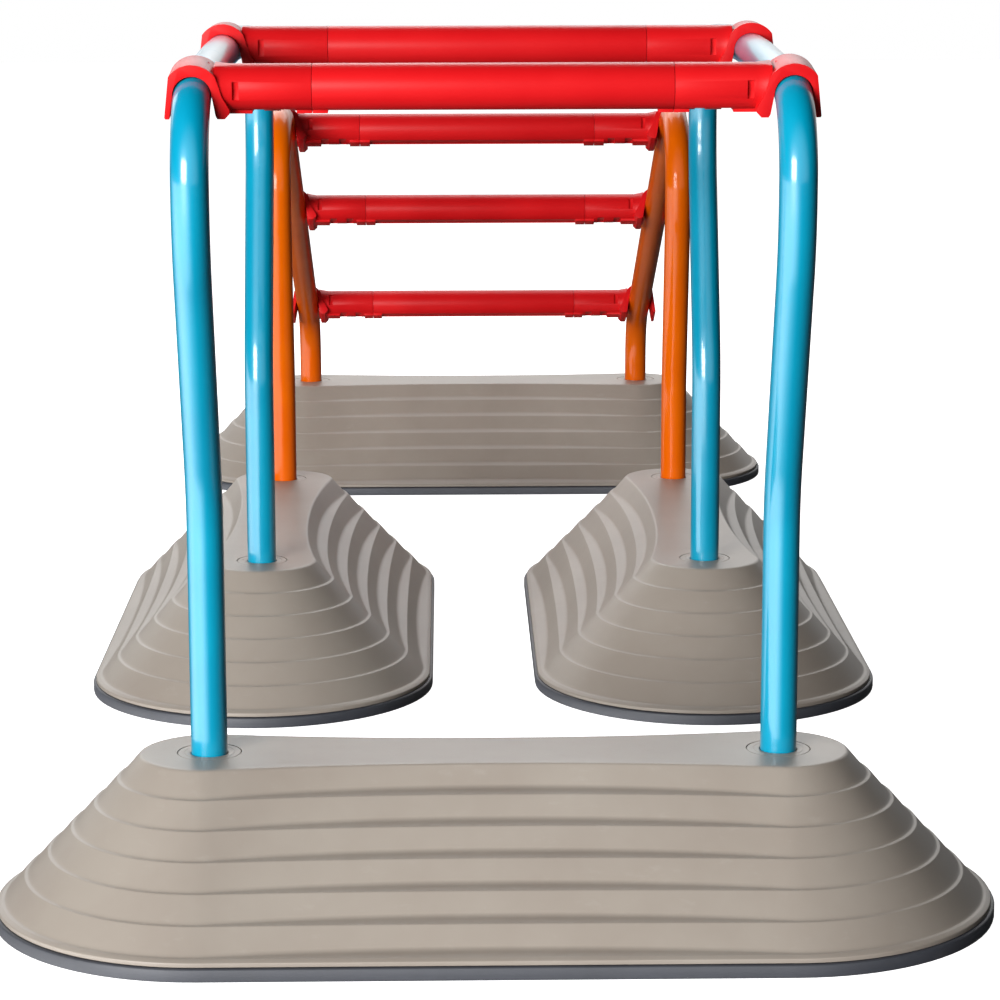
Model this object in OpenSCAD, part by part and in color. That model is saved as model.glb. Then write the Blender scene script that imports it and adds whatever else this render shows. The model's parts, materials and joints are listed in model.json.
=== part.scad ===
// Free-standing crawling course: two hoops and two sloped frames of bent steel tube stand in
// four hollow stepped bases, and five crossbars hook over the tubes.
// X runs across the course, Y along it away from the front base, Z up. The origin is on the
// floor, at the middle of the whole course.

/* [Layout] */
// Distance between the left and right tube of a frame
tube_spacing = 470; // [430:5:520]
// Distance between the two sockets of one base
socket_spacing = 470; // [430:5:520]
// From the front base's socket line to the side bases' front sockets
hoop_span = 755; // [700:5:820]
// From the side bases' rear sockets to the rear base's socket line
slope_span = 775; // [720:5:840]

/* [Tubes] */
// Outer diameter of the steel tubes
tube_d = 30; // [28:0.5:32]
// Wall of the steel tubes
tube_wall = 2; // [1.5:0.1:3]
// Height of the hoop's axis at its crown
hoop_height = 694; // [668:1:724]
// Slope of the hoop's arched top where it meets the bends
crown_tilt = 3; // [2.6:0.1:3.6]
// Axis radius of the arched top
crown_r = 5400; // [5000:50:5800]
// How far each hoop leg bends outwards
hoop_sweep = 84; // [70:1:95]
// Height where the hoop leg starts to bend outwards
hoop_sweep_low = 347; // [330:1:365]
// Height where the hoop leg is upright again
hoop_sweep_high = 564; // [545:1:570]
// Axis radius of the hoop's top bends
hoop_bend_r = 70; // [60:1:76]
// Axis radius of the easy bends in the legs
leg_bend_r = 180; // [150:1:195]
// How far the sloped frame's near leg bends forwards
slope_sweep = 37; // [25:1:45]
// Height where that leg starts to bend forwards
slope_sweep_low = 252; // [235:1:270]
// Height where that leg is upright again
slope_sweep_high = 449; // [430:1:465]
// Angle of the slope below level
slope_angle = 26; // [23:0.5:28]
// Height of the slope's axis above the rear base's socket line
slope_end_height = 217.5; // [205:0.5:245]
// Axis radius of the sloped frame's top bend
slope_top_r = 80; // [66:1:84]
// Axis radius of the sloped frame's low bend
slope_low_r = 83; // [68:1:90]

/* [Bases] */
// Height of a base, with its rubber strip
base_h = 136; // [120:1:150]
// Width of a base, over its rubber strip
base_w = 361; // [337:1:379]
// Radius of the round ends of the top
top_r = 57; // [52:1:64]
// Half the width of the top at its waist
top_waist = 40; // [36:1:48]
// Number of terraces
terraces = 6; // [5:1:8]
// Depth of a terrace's tread at the middle of the long side
tread_mid = 12; // [8:0.5:15]
// Depth of a terrace's groove round the ends
tread_end = 3; // [1.5:0.1:4]
// Wall of the base
shell_wall = 4; // [3:0.25:5]
// Height of the rubber strip
strip_h = 11; // [9:0.5:14]
// Thickness of the rubber strip
strip_t = 6; // [5:0.5:7]

/* [Sockets] */
// Diameter of a socket's flange, flush in the top
flange_d = 53; // [50:0.5:60]
// Depth that a tube stands in its socket
socket_depth = 96; // [80:1:105]
// Wall of the socket's cup
cup_wall = 5; // [4:0.5:6]

/* [Crossbars] */
// Diameter of a crossbar
bar_d = 37; // [34:0.5:38]
// Distance from the middle of a crossbar to the seam of its grip
seam_x = 142; // [125:1:160]
// Height of the bar's axis above the tube's axis
bar_lift = 3; // [1:0.5:4]
// Width of a hook along the tube
hook_w = 43; // [36:1:48]
// Thickness of a hook over the tube
hook_t = 9; // [7:0.5:11]
// Depth of a hook below the tube's axis
hook_drop = 18.3; // [16:0.1:20]
// Distance along the course from the hoop's front leg to crossbar 1
bar_1_y = -23; // [-32:1:-14]
// Distance along the course from the hoop's front leg to crossbar 2
bar_2_y = 330; // [250:1:420]
// Distance along the course from the near sloped leg to crossbar 3
bar_3_y = 100; // [88:1:130]
// Distance along the course from the near sloped leg to crossbar 4
bar_4_y = 351; // [300:1:400]
// Distance along the course from the near sloped leg to crossbar 5
bar_5_y = 697; // [600:1:706]

/* [Hidden] */
$fn = 64;

// Colours
base_colour = [0.66, 0.61, 0.55];
rubber_colour = [0.30, 0.31, 0.34];
hoop_colour = [0.0, 0.60, 0.80];
slope_colour = [0.90, 0.33, 0.02];
bar_colour = [0.84, 0.06, 0.10];

// Fits
seat_gap = 0.3;        // between pieces that rest on each other and lift apart
socket_play = 0.5;     // radial, tube in its cup
press_gap = 0.1;       // radial, insert in its base and spigot in its grip
hook_play = 0.3;       // radial, hook over its tube

// Places of the bases
mid_y = (hoop_span - slope_span) / 2;
side_front_y = mid_y - socket_spacing / 2;
side_rear_y = mid_y + socket_spacing / 2;
front_y = side_front_y - hoop_span;
rear_y = side_rear_y + slope_span;
half_x = tube_spacing / 2;
reach = socket_spacing / 2;                  // base centre to its sockets

// Base outline and steps
rim_r = base_w / 2;                          // round ends at the rubber strip
foot_r = rim_r - strip_t;                    // shell inside the strip
lip_r = rim_r - strip_t / 2;                 // small lip over the strip
lip_gap = 0.4;                               // dark line between the strip and the lip
lip_h = 4;
lip_slope = 2;
step_z0 = strip_h + lip_h + lip_slope;       // foot of the lowest terrace
step_h = (base_h - step_z0) / terraces;
step_r0 = foot_r - 1;
end_run = (step_r0 - top_r) / terraces;      // inset of each terrace round the ends
mid_run = (step_r0 - top_waist) / terraces;  // and at the middle of the sides
tread_drop = 0.22;                           // treads fall outwards by this slope
wall_share = 0.72;                           // of the wall, inwards and down from a tread's corner
waist_power = 2.2;
end_steps = 16;
side_steps = 12;
strip_floor = 3;
insert_t = 3;
top_plate = 6;

// Sockets
cup_r = tube_d / 2 + socket_play;
cup_outer_r = cup_r + cup_wall;
cup_floor = 4;
tube_foot_z = base_h - socket_depth;         // bottom of a tube's plug
plug_t = 3;
plug_l = 16;

// Bends of the tubes
bend_steps = 14;       // faces along a bend, where it is shown in facets
lap = 0.5;             // length that a straight pipe laps over a bend
bend_thinning = 0.1;   // how much a bend's wall draws in on each side

// Hooks, about the tube's axis
saddle_r = tube_d / 2 + hook_play;
hook_top = saddle_r + hook_t;
hook_arc_z = 2.1;                            // centre of the round top
hook_arc_r = hook_top - hook_arc_z;
shoulder_x = hook_arc_r * 0.82;              // where the round top runs into the legs
shoulder_z = hook_arc_z + sqrt(pow(hook_arc_r, 2) - pow(shoulder_x, 2));
mouth_flare = 2.8;                           // how much each side of the mouth opens
spigot_r = bar_d / 2 - 3.5;
spigot_l = 34;
grip_gap = 0.2;
flare_l = 13;
flare_t = (hook_w - bar_d) / 2;              // from the collar's width down to the bar
bar_start = shoulder_x - 1.4;
gate_at = [12, 7];                           // dimple on top of the hook
gate_d = 2.6;

// Features of a bar, from the tube's axis unless said
slot_x = 31;
slot_w = 5.2;
slot_h = 14.5;
slot_depth = 4;
pad_w = 14;                                  // strip under the bar's end
pad_t = 1.2;
pad_end = 46;
lug_l = 12;                                  // raised lugs on both sides of the seam
notch_x = [47, 68];                          // notches under the end piece
notch_l = 8.5;
notch_t = 3.2;
channel_w = 13;                              // channel under the grip, between its lugs
channel_t = 1.8;

// ---- outlines of a base -------------------------------------------------------------------

// Half width of the outline at x, for round ends of radius r and a waist of half width w
function side_half(x, r, w) = r - (r - w) * (1 - pow(abs(x) / reach, waist_power));

// Points round the outline: two round ends and two waisted sides
function outline(r, w) = concat(
    [for (i = [0 : end_steps - 1]) let (a = -90 + 180 * i / end_steps)
        [reach + r * cos(a), r * sin(a)]],
    [for (i = [0 : side_steps - 1]) let (x = reach - 2 * reach * i / side_steps)
        [x, side_half(x, r, w)]],
    [for (i = [0 : end_steps - 1]) let (a = 90 + 180 * i / end_steps)
        [-reach + r * cos(a), r * sin(a)]],
    [for (i = [0 : side_steps - 1]) let (x = -reach + 2 * reach * i / side_steps)
        [x, -side_half(x, r, w)]]
);

// Share of the way from the ends (0) to the middle of a side (1)
function mid_share(p) = max(0, 1 - pow(min(1, abs(p[0]) / reach), waist_power));

// One ring of points: outline (r, w) at height z_end round the ends and z_mid at the waist
function ring(r, w, z_end, z_mid) =
    [for (p = outline(r, w)) [p[0], p[1], z_end + (z_mid - z_end) * mid_share(p)]];

function step_foot_r(k) = step_r0 - k * end_run;
function step_foot_w(k) = step_r0 - k * mid_run;

function step_z(k) = step_z0 + k * step_h;

// Rings up the outside, and up the smooth inside
function outer_rings() = concat(
    [ring(foot_r, foot_r, strip_floor, strip_floor),
     ring(foot_r, foot_r, strip_h + lip_gap, strip_h + lip_gap),
     ring(lip_r, lip_r, strip_h + lip_gap, strip_h + lip_gap),
     ring(lip_r, lip_r, strip_h + lip_h, strip_h + lip_h)],
    [for (k = [0 : terraces - 1]) each [
        ring(step_foot_r(k), step_foot_w(k), step_z(k), step_z(k)),
        ring(step_foot_r(k) - tread_end, step_foot_w(k) - tread_mid,
             step_z(k) + tread_end * tread_drop, step_z(k) + tread_mid * tread_drop)
    ]],
    [ring(top_r, top_waist, base_h, base_h)]
);
function inner_rings() = let (in = wall_share * shell_wall) concat(
    [ring(foot_r - shell_wall, foot_r - shell_wall, strip_floor, strip_floor),
     ring(foot_r - shell_wall, foot_r - shell_wall, strip_h, strip_h)],
    [for (k = [0 : terraces - 1])
        ring(step_foot_r(k) - tread_end - in, step_foot_w(k) - tread_mid - in,
             step_z(k) + tread_end * tread_drop - in, step_z(k) + tread_mid * tread_drop - in)],
    [ring(top_r - 1, top_waist - shell_wall, base_h - top_plate, base_h - top_plate)]
);

// Closed surface through rings of equal length, from the last inner ring down and round the
// rim, then up the outside to the top
module skin(rings) {
    n = len(rings[0]);
    m = len(rings);
    polyhedron(
        points = [for (r = rings) each r],
        faces = concat(
            [[for (i = [0 : n - 1]) i]],
            [for (j = [0 : m - 2]) for (i = [0 : n - 1]) let (a = j * n + i, b = j * n + (i + 1) % n)
                each [[a, a + n, b], [b, a + n, b + n]]],
            [[for (i = [n - 1 : -1 : 0]) (m - 1) * n + i]]
        ),
        convexity = 6
    );
}

module base_shell() {
    inner = inner_rings();
    n = len(inner);
    difference() {
        skin(concat([for (i = [n - 1 : -1 : 0]) inner[i]], outer_rings()));
        for (side = [-1, 1])
            translate([side * reach, 0, 0]) {
                translate([0, 0, base_h - insert_t])
                    cylinder(h = insert_t + 1, d = flange_d + 2 * press_gap);
                translate([0, 0, base_h - top_plate - shell_wall])
                    cylinder(h = top_plate + shell_wall + 1, r = cup_outer_r + press_gap);
            }
    }
}

module stadium(r, h) {
    linear_extrude(h) {
        for (side = [-1, 1])
            translate([side * reach, 0]) circle(r = r);
        square([2 * reach, 2 * r], center = true);
    }
}

// Strip that the rim stands in, with its floor under the rim
module rubber_strip() {
    color(rubber_colour)
        difference() {
            stadium(rim_r, strip_h);
            translate([0, 0, strip_floor]) stadium(foot_r + press_gap, strip_h);
            translate([0, 0, -1]) stadium(foot_r - shell_wall - 2, strip_h + 2);
        }
}

// Flanged cup that a tube stands in
module socket_insert() {
    difference() {
        union() {
            translate([0, 0, base_h - insert_t]) cylinder(h = insert_t, d = flange_d);
            translate([0, 0, tube_foot_z - cup_floor])
                cylinder(h = base_h - tube_foot_z + cup_floor - insert_t / 2, r = cup_outer_r);
        }
        translate([0, 0, tube_foot_z - seat_gap]) cylinder(h = base_h, r = cup_r);
        translate([0, 0, tube_foot_z - cup_floor - 1]) cylinder(h = cup_floor + 2, d = 8);
    }
}

module socket_pair() {
    color(base_colour)
        for (side = [-1, 1])
            translate([side * reach, 0, 0]) socket_insert();
}

// Places a base's pieces: front and rear bases lie across the course, side bases along it
module at_base(name) {
    if (name == "front") translate([0, front_y, 0]) children();
    if (name == "rear") translate([0, rear_y, 0]) children();
    if (name == "left") translate([-half_x, mid_y, 0]) rotate([0, 0, 90]) children();
    if (name == "right") translate([half_x, mid_y, 0]) rotate([0, 0, 90]) children();
}

// ---- bent tubes ---------------------------------------------------------------------------
// A run is a list of corners [y, z], each with the axis radius of its bend. It lies in a
// plane x = constant.

function unit(v) = v / norm(v);
function turn(a, b) = let (c = a[0] * b[1] - a[1] * b[0]) atan2(c, a * b);
function dir(run, i) = unit(run[i + 1] - run[i]);
function bend(run, i) = turn(dir(run, i - 1), dir(run, i));
// Length from a corner to where its bend starts
function tangent(run, radii, i) =
    i == 0 || i == len(run) - 1 ? 0 : radii[i] * tan(abs(bend(run, i)) / 2);
function heading(v) = atan2(v[1], v[0]);

// Tube along a run. A straight length is a pipe that laps a little over the bends it meets.
module bent_tube(run, radii) {
    last = len(run) - 1;
    for (i = [0 : last - 1]) {
        v = dir(run, i);
        lap_0 = i == 0 ? 0 : lap;
        lap_1 = i == last - 1 ? 0 : lap;
        start = run[i] + v * (tangent(run, radii, i) - lap_0);
        length = norm(run[i + 1] - run[i]) - tangent(run, radii, i) - tangent(run, radii, i + 1)
            + lap_0 + lap_1;
        translate([0, start[0], start[1]])
            rotate([heading(v) - 90, 0, 0])
                linear_extrude(length) tube_section(0);
    }
    for (i = [1 : last - 1]) {
        v = dir(run, i - 1);
        b = bend(run, i);
        side = b > 0 ? 1 : -1;
        start = run[i] - v * tangent(run, radii, i);
        centre = start + side * radii[i] * [-v[1], v[0]];
        first = heading(v) - side * 90;
        translate([0, centre[0], centre[1]])
            rotate([90, 0, 90])
                rotate([0, 0, b > 0 ? first : first + b])
                    rotate_extrude(angle = abs(b), $fn = ceil(bend_steps * 360 / abs(b)))
                        translate([radii[i], 0]) tube_section(bend_thinning);
    }
}

module tube_section(thinning) {
    difference() {
        circle(r = tube_d / 2 - thinning, $fn = 64);
        circle(r = tube_d / 2 - tube_wall + thinning, $fn = 64);
    }
}

// Hoop: upright leg, easy bend outwards, upright again, bend over into the arched top
tube_end_z = tube_foot_z + plug_t;
hoop_half = hoop_span / 2;
hoop_mid_y = (front_y + side_front_y) / 2;
crown_half = hoop_half + hoop_sweep;
// The arched top is one long bend with a short straight at each end. Its axis at the distance
// y from the middle:
crown_peak_z = hoop_height + crown_r * (1 / cos(crown_tilt) - 1);
function crown_z(y) = abs(y) < crown_r * sin(crown_tilt)
    ? hoop_height - crown_r + sqrt(crown_r * crown_r - y * y)
    : crown_peak_z - abs(y) * tan(crown_tilt);
hoop_run = [
    [front_y, tube_end_z],
    [front_y, hoop_sweep_low],
    [front_y - hoop_sweep, hoop_sweep_high],
    [front_y - hoop_sweep, crown_z(crown_half)],
    [hoop_mid_y, crown_peak_z],
    [side_front_y + hoop_sweep, crown_z(crown_half)],
    [side_front_y + hoop_sweep, hoop_sweep_high],
    [side_front_y, hoop_sweep_low],
    [side_front_y, tube_end_z]
];
hoop_radii = [0, leg_bend_r, leg_bend_r, hoop_bend_r, crown_r, hoop_bend_r, leg_bend_r,
    leg_bend_r, 0];

// Sloped frame: near leg with its easy bend forwards, tight bend, slope, low bend, far leg
function slope_z(y) = slope_end_height + (rear_y - y) * tan(slope_angle);
slope_run = [
    [side_rear_y, tube_end_z],
    [side_rear_y, slope_sweep_low],
    [side_rear_y - slope_sweep, slope_sweep_high],
    [side_rear_y - slope_sweep, slope_z(side_rear_y - slope_sweep)],
    [rear_y, slope_z(rear_y)],
    [rear_y, tube_end_z]
];
slope_radii = [0, leg_bend_r, leg_bend_r, slope_top_r, slope_low_r, 0];

// Cap over a tube's lower end, with its stem in the bore
module end_plug() {
    cylinder(h = plug_t, d = tube_d - 0.2);
    cylinder(h = plug_t + plug_l, r = tube_d / 2 - tube_wall - press_gap);
}

module end_plugs(colour, ends_y) {
    color(colour)
        for (side = [-1, 1], y = ends_y)
            translate([side * half_x, y, tube_foot_z]) end_plug();
}

// ---- crossbars ----------------------------------------------------------------------------

// Section of a hook, x towards the middle of the bar, y up from the tube's axis
module hook_section() {
    mouth_out = -saddle_r - mouth_flare;
    mouth_in = saddle_r + mouth_flare;
    difference() {
        union() {
            intersection() {
                translate([0, hook_arc_z]) circle(r = hook_arc_r);
                translate([-shoulder_x, 0]) square([2 * shoulder_x, hook_top + 1]);
            }
            polygon([
                [-shoulder_x, shoulder_z], [-shoulder_x - 3.8, 1.2 - hook_drop],
                [-shoulder_x - 3, -hook_drop], [mouth_out, -hook_drop], [-saddle_r + 6, 0],
                [-saddle_r + 6, shoulder_z]
            ]);
            polygon([
                [shoulder_x, shoulder_z], [shoulder_x + 2.4, 8], [shoulder_x + 5, -1],
                [shoulder_x + 10.8, 7 - hook_drop], [shoulder_x + 10.8, 4 - hook_drop],
                [shoulder_x + 7, -hook_drop], [mouth_in + 1.4, -hook_drop],
                [mouth_in, 2.5 - hook_drop], [saddle_r - 6, 0], [saddle_r - 6, shoulder_z]
            ]);
        }
        circle(r = saddle_r);
        polygon([
            [-saddle_r, 0], [mouth_out, -hook_drop - 1], [mouth_in, -hook_drop - 1],
            [mouth_in, 2.5 - hook_drop], [saddle_r, 0]
        ]);
    }
}

// Raised strip under a bar, from x to x + length
module under_pad(x, length) {
    translate([x, -pad_w / 2, bar_lift - bar_d / 2 - pad_t])
        cube([length, pad_w, pad_t + 2]);
}

// Cut of a given depth under a bar
module under_cut(x, length, width, depth) {
    translate([x, -width / 2, bar_lift - bar_d / 2 - pad_t - 1])
        cube([length, width, pad_t + 1 + depth]);
}

// Left hook about the tube's axis: saddle, collar, round end of the bar and its spigot
module end_piece() {
    seam = half_x - seam_x;
    gate_z = hook_arc_z + sqrt(pow(hook_arc_r, 2) - pow(gate_at[0], 2));
    difference() {
        union() {
            rotate([90, 0, 0])
                linear_extrude(hook_w, center = true) hook_section();
            translate([bar_start, 0, bar_lift])
                rotate([0, 90, 0]) {
                    cylinder(h = seam - grip_gap - bar_start, d = bar_d);
                    cylinder(h = seam - bar_start + spigot_l, r = spigot_r);
                }
            // flare from the collar down to the bar, flush with the bar's top
            intersection() {
                translate([bar_start, 0, bar_lift])
                    rotate([0, 90, 0])
                        cylinder(h = flare_l, r1 = bar_d / 2 + flare_t, r2 = bar_d / 2 - 0.2);
                translate([bar_start, -hook_w / 2, bar_lift - bar_d / 2 - pad_t])
                    cube([flare_l, hook_w, bar_d + pad_t - 0.3]);
            }
            under_pad(bar_start, pad_end - bar_start);
            under_pad(seam - grip_gap - lug_l, lug_l);
        }
        // the saddle stays clear of the bar's end
        rotate([90, 0, 0]) cylinder(h = hook_w + 2, r = saddle_r, center = true);
        // slots in the front and back of the bar
        for (side = [-1, 1])
            translate([slot_x + slot_w / 2, side * (bar_d / 2 - slot_depth / 2 + 1), bar_lift])
                cube([slot_w, slot_depth + 2, slot_h], center = true);
        for (x = notch_x) under_cut(x, notch_l, pad_w + 4, notch_t);
        translate([gate_at[0], gate_at[1], gate_z])
            rotate([0, asin(gate_at[0] / hook_arc_r), 0])
                cylinder(h = 1, d = gate_d, center = true);
    }
}

module grip() {
    inside = seam_x - grip_gap - lug_l;
    color(bar_colour)
        difference() {
            union() {
                translate([0, 0, bar_lift])
                    rotate([0, 90, 0])
                        cylinder(h = 2 * (seam_x - grip_gap), d = bar_d, center = true);
                under_pad(inside, lug_l);
                under_pad(-inside - lug_l, lug_l);
            }
            translate([0, 0, bar_lift])
                rotate([0, 90, 0])
                    cylinder(h = 2 * seam_x + 2, r = spigot_r + press_gap, center = true);
            under_cut(-inside, 2 * inside, channel_w, channel_t);
        }
}

module left_hook() {
    color(bar_colour) translate([-half_x, 0, 0]) end_piece();
}

module right_hook() {
    color(bar_colour) mirror([1, 0, 0]) translate([-half_x, 0, 0]) end_piece();
}

// Each crossbar's place: [y, z, tilt] of the tube's axis under it. The tilt turns about X.
hoop_bend_y = front_y - hoop_sweep + hoop_bend_r;
hoop_bend_start_z = crown_z(crown_half) - hoop_bend_r * tan((90 - crown_tilt) / 2);
bar_1_at = front_y + bar_1_y;
bar_1_turn = asin((hoop_bend_y - bar_1_at) / hoop_bend_r);
bar_2_at = front_y + bar_2_y;
bar_3_at = side_rear_y + bar_3_y;
bar_places = [
    bar_1_at > hoop_bend_y - hoop_bend_r * sin(crown_tilt)
        ? [bar_1_at, crown_z(bar_1_at - hoop_mid_y), crown_tilt]
        : [bar_1_at, hoop_bend_start_z + hoop_bend_r * cos(bar_1_turn), bar_1_turn],
    [bar_2_at, crown_z(bar_2_at - hoop_mid_y), asin((hoop_mid_y - bar_2_at) / crown_r)],
    [bar_3_at, slope_z(bar_3_at), -slope_angle],
    [side_rear_y + bar_4_y, slope_z(side_rear_y + bar_4_y), -slope_angle],
    [side_rear_y + bar_5_y, slope_z(side_rear_y + bar_5_y), -slope_angle]
];

module at_bar(n) {
    place = bar_places[n - 1];
    translate([0, place[0], place[1]]) rotate([place[2], 0, 0]) children();
}

// ---- nodes --------------------------------------------------------------------------------

module front_base() { color(base_colour) at_base("front") base_shell(); }
module left_base() { color(base_colour) at_base("left") base_shell(); }
module right_base() { color(base_colour) at_base("right") base_shell(); }
module rear_base() { color(base_colour) at_base("rear") base_shell(); }

front_base();
left_base();
right_base();
rear_base();
at_base("front") rubber_strip();  // front_rubber_strip
at_base("left") rubber_strip();  // left_rubber_strip
at_base("right") rubber_strip();  // right_rubber_strip
at_base("rear") rubber_strip();  // rear_rubber_strip
at_base("front") socket_pair();  // front_sockets
at_base("left") socket_pair();  // left_sockets
at_base("right") socket_pair();  // right_sockets
at_base("rear") socket_pair();  // rear_sockets
color(hoop_colour) translate([-half_x, 0, 0]) bent_tube(hoop_run, hoop_radii);  // hoop_tube_left
color(hoop_colour) translate([half_x, 0, 0]) bent_tube(hoop_run, hoop_radii);  // hoop_tube_right
color(slope_colour) translate([-half_x, 0, 0]) bent_tube(slope_run, slope_radii);  // slope_tube_left
color(slope_colour) translate([half_x, 0, 0]) bent_tube(slope_run, slope_radii);  // slope_tube_right
end_plugs(hoop_colour, [front_y, side_front_y]);  // hoop_end_plugs
end_plugs(slope_colour, [side_rear_y, rear_y]);  // slope_end_plugs
at_bar(1) grip();  // crossbar_1_grip
at_bar(1) left_hook();  // crossbar_1_left_hook
at_bar(1) right_hook();  // crossbar_1_right_hook
at_bar(2) grip();  // crossbar_2_grip
at_bar(2) left_hook();  // crossbar_2_left_hook
at_bar(2) right_hook();  // crossbar_2_right_hook
at_bar(3) grip();  // crossbar_3_grip
at_bar(3) left_hook();  // crossbar_3_left_hook
at_bar(3) right_hook();  // crossbar_3_right_hook
at_bar(4) grip();  // crossbar_4_grip
at_bar(4) left_hook();  // crossbar_4_left_hook
at_bar(4) right_hook();  // crossbar_4_right_hook
at_bar(5) grip();  // crossbar_5_grip
at_bar(5) left_hook();  // crossbar_5_left_hook
at_bar(5) right_hook();  // crossbar_5_right_hook
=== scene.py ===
import json
import math

import bmesh
import bpy
from mathutils import Matrix, Vector


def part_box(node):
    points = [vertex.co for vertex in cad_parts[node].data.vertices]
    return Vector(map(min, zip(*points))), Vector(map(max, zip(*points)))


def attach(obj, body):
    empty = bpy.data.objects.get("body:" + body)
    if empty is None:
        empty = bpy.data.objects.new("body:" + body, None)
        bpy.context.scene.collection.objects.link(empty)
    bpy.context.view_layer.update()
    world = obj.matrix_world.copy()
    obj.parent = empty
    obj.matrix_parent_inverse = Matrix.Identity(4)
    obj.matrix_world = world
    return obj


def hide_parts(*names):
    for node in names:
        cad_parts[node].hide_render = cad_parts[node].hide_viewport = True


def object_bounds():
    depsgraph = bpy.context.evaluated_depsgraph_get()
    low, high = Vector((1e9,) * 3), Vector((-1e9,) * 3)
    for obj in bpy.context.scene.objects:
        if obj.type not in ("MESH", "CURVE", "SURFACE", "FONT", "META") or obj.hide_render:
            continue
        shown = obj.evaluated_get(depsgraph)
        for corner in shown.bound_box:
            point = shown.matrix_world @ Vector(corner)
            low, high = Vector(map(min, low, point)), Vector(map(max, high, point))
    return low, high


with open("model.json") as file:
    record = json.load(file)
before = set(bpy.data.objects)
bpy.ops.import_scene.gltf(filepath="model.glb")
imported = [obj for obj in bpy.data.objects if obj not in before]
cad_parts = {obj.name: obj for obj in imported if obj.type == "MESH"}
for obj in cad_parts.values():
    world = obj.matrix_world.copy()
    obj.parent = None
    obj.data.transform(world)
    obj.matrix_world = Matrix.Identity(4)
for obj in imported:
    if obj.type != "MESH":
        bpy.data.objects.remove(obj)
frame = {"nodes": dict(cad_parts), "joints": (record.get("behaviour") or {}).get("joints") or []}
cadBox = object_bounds()
mm = 0.001

camera = {
    "place": (-0.0365, -3.5127, 0.8348),  # metres, in the object's frame
    "pitchDown": 10.999,                  # degrees
    "yawRight": 0.95,
    "roll": -0.12,
    "focalPixels": 3146.0,                # in the photograph's 1000 pixel frame
    "framePixels": 1000.0,
    "sensor": 36.0,
    "farthest": 60,
}


def placeCamera():
    pitch, yaw, roll = (math.radians(camera[k]) for k in ("pitchDown", "yawRight", "roll"))
    forward = Vector((math.sin(yaw) * math.cos(pitch), math.cos(yaw) * math.cos(pitch), -math.sin(pitch)))
    right = Vector((math.cos(yaw), -math.sin(yaw), 0))
    up = right.cross(forward)
    rightRolled = math.cos(roll) * right + math.sin(roll) * up
    upRolled = math.cos(roll) * up - math.sin(roll) * right
    data = bpy.data.cameras.new("photoCamera")
    data.sensor_fit = "HORIZONTAL"
    data.sensor_width = camera["sensor"]
    data.lens = camera["focalPixels"] / camera["framePixels"] * camera["sensor"]
    data.clip_end = camera["farthest"]
    obj = bpy.data.objects.new("photoCamera", data)
    turn = Matrix((rightRolled, upRolled, -forward)).transposed()
    obj.matrix_world = Matrix.Translation(camera["place"]) @ turn.to_4x4()
    bpy.context.scene.collection.objects.link(obj)
    bpy.context.scene.camera = obj


placeCamera()
print("camera placed")


# short ways to add nodes to one material
class Shader:
    def __init__(self, name, colour, roughness):
        self.material = bpy.data.materials.new(name)
        self.material.use_nodes = True
        self.tree = self.material.node_tree
        self.surface = self.tree.nodes["Principled BSDF"]
        self.surface.inputs["Base Color"].default_value = (*colour, 1)
        self.surface.inputs["Roughness"].default_value = roughness
        self.position = self.add("ShaderNodeTexCoord").outputs["Object"]

    def add(self, kind, **inputs):
        node = self.tree.nodes.new(kind)
        for key, value in inputs.items():
            node.inputs[key].default_value = value
        return node

    def link(self, a, b):
        self.tree.links.new(a, b)

    def noise(self, scale, detail=3.0, roughness=0.5, stretch=None):
        node = self.add("ShaderNodeTexNoise", Scale=scale, Detail=detail, Roughness=roughness)
        source = self.position
        if stretch:
            mapping = self.add("ShaderNodeMapping", Scale=stretch)
            self.link(source, mapping.inputs["Vector"])
            source = mapping.outputs["Vector"]
        self.link(source, node.inputs["Vector"])
        return node.outputs["Fac"]

    def rescale(self, value, low, high, outLow=0, outHigh=1):
        node = self.tree.nodes.new("ShaderNodeMapRange")
        for i, number in enumerate((low, high, outLow, outHigh)):
            node.inputs[i + 1].default_value = number
        self.link(value, node.inputs["Value"])
        return node.outputs["Result"]

    def blendColours(self, fac, first, second):
        node = self.tree.nodes.new("ShaderNodeMix")
        node.data_type = "RGBA"
        for socket, colour in ((node.inputs[6], first), (node.inputs[7], second)):
            if isinstance(colour, tuple):
                socket.default_value = (*colour, 1)
            else:
                self.link(colour, socket)
        self.link(fac, node.inputs[0])
        return node.outputs[2]

    # heights: (value, strength, distance in metres), from coarse to fine
    def bump(self, heights):
        normal = None
        for value, strength, distance in heights:
            node = self.add("ShaderNodeBump", Strength=strength, Distance=distance)
            self.link(value, node.inputs["Height"])
            if normal:
                self.link(normal, node.inputs["Normal"])
            normal = node.outputs["Normal"]
        self.link(normal, self.surface.inputs["Normal"])


# an sRGB colour of 0 to 255, as the linear values that the shader takes
def linear(r, g, b):
    return tuple((v / 255 / 12.92) if v < 10.3 else ((v / 255 + 0.055) / 1.055) ** 2.4 for v in (r, g, b))


# noises: scale, detail, roughness and stretch, as far as they are given
moulding = {
    "cloud": (4, 0.6),           # detail and roughness only
    "cloudRange": (0.35, 0.65),
    "scuff": (38, 5, 0.7, (1, 1, 2.5)),
    "scuffRange": (0.60, 0.78),
    "scuffDust": 0.22,
    "scuffRoughness": 0.14,
    "ripple": (95, 2),
    "rippleBump": (0.10, 0.6 * mm),
    "grain": (1500, 2, 0.6),
    "grainDepth": 0.2 * mm,
}


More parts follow.
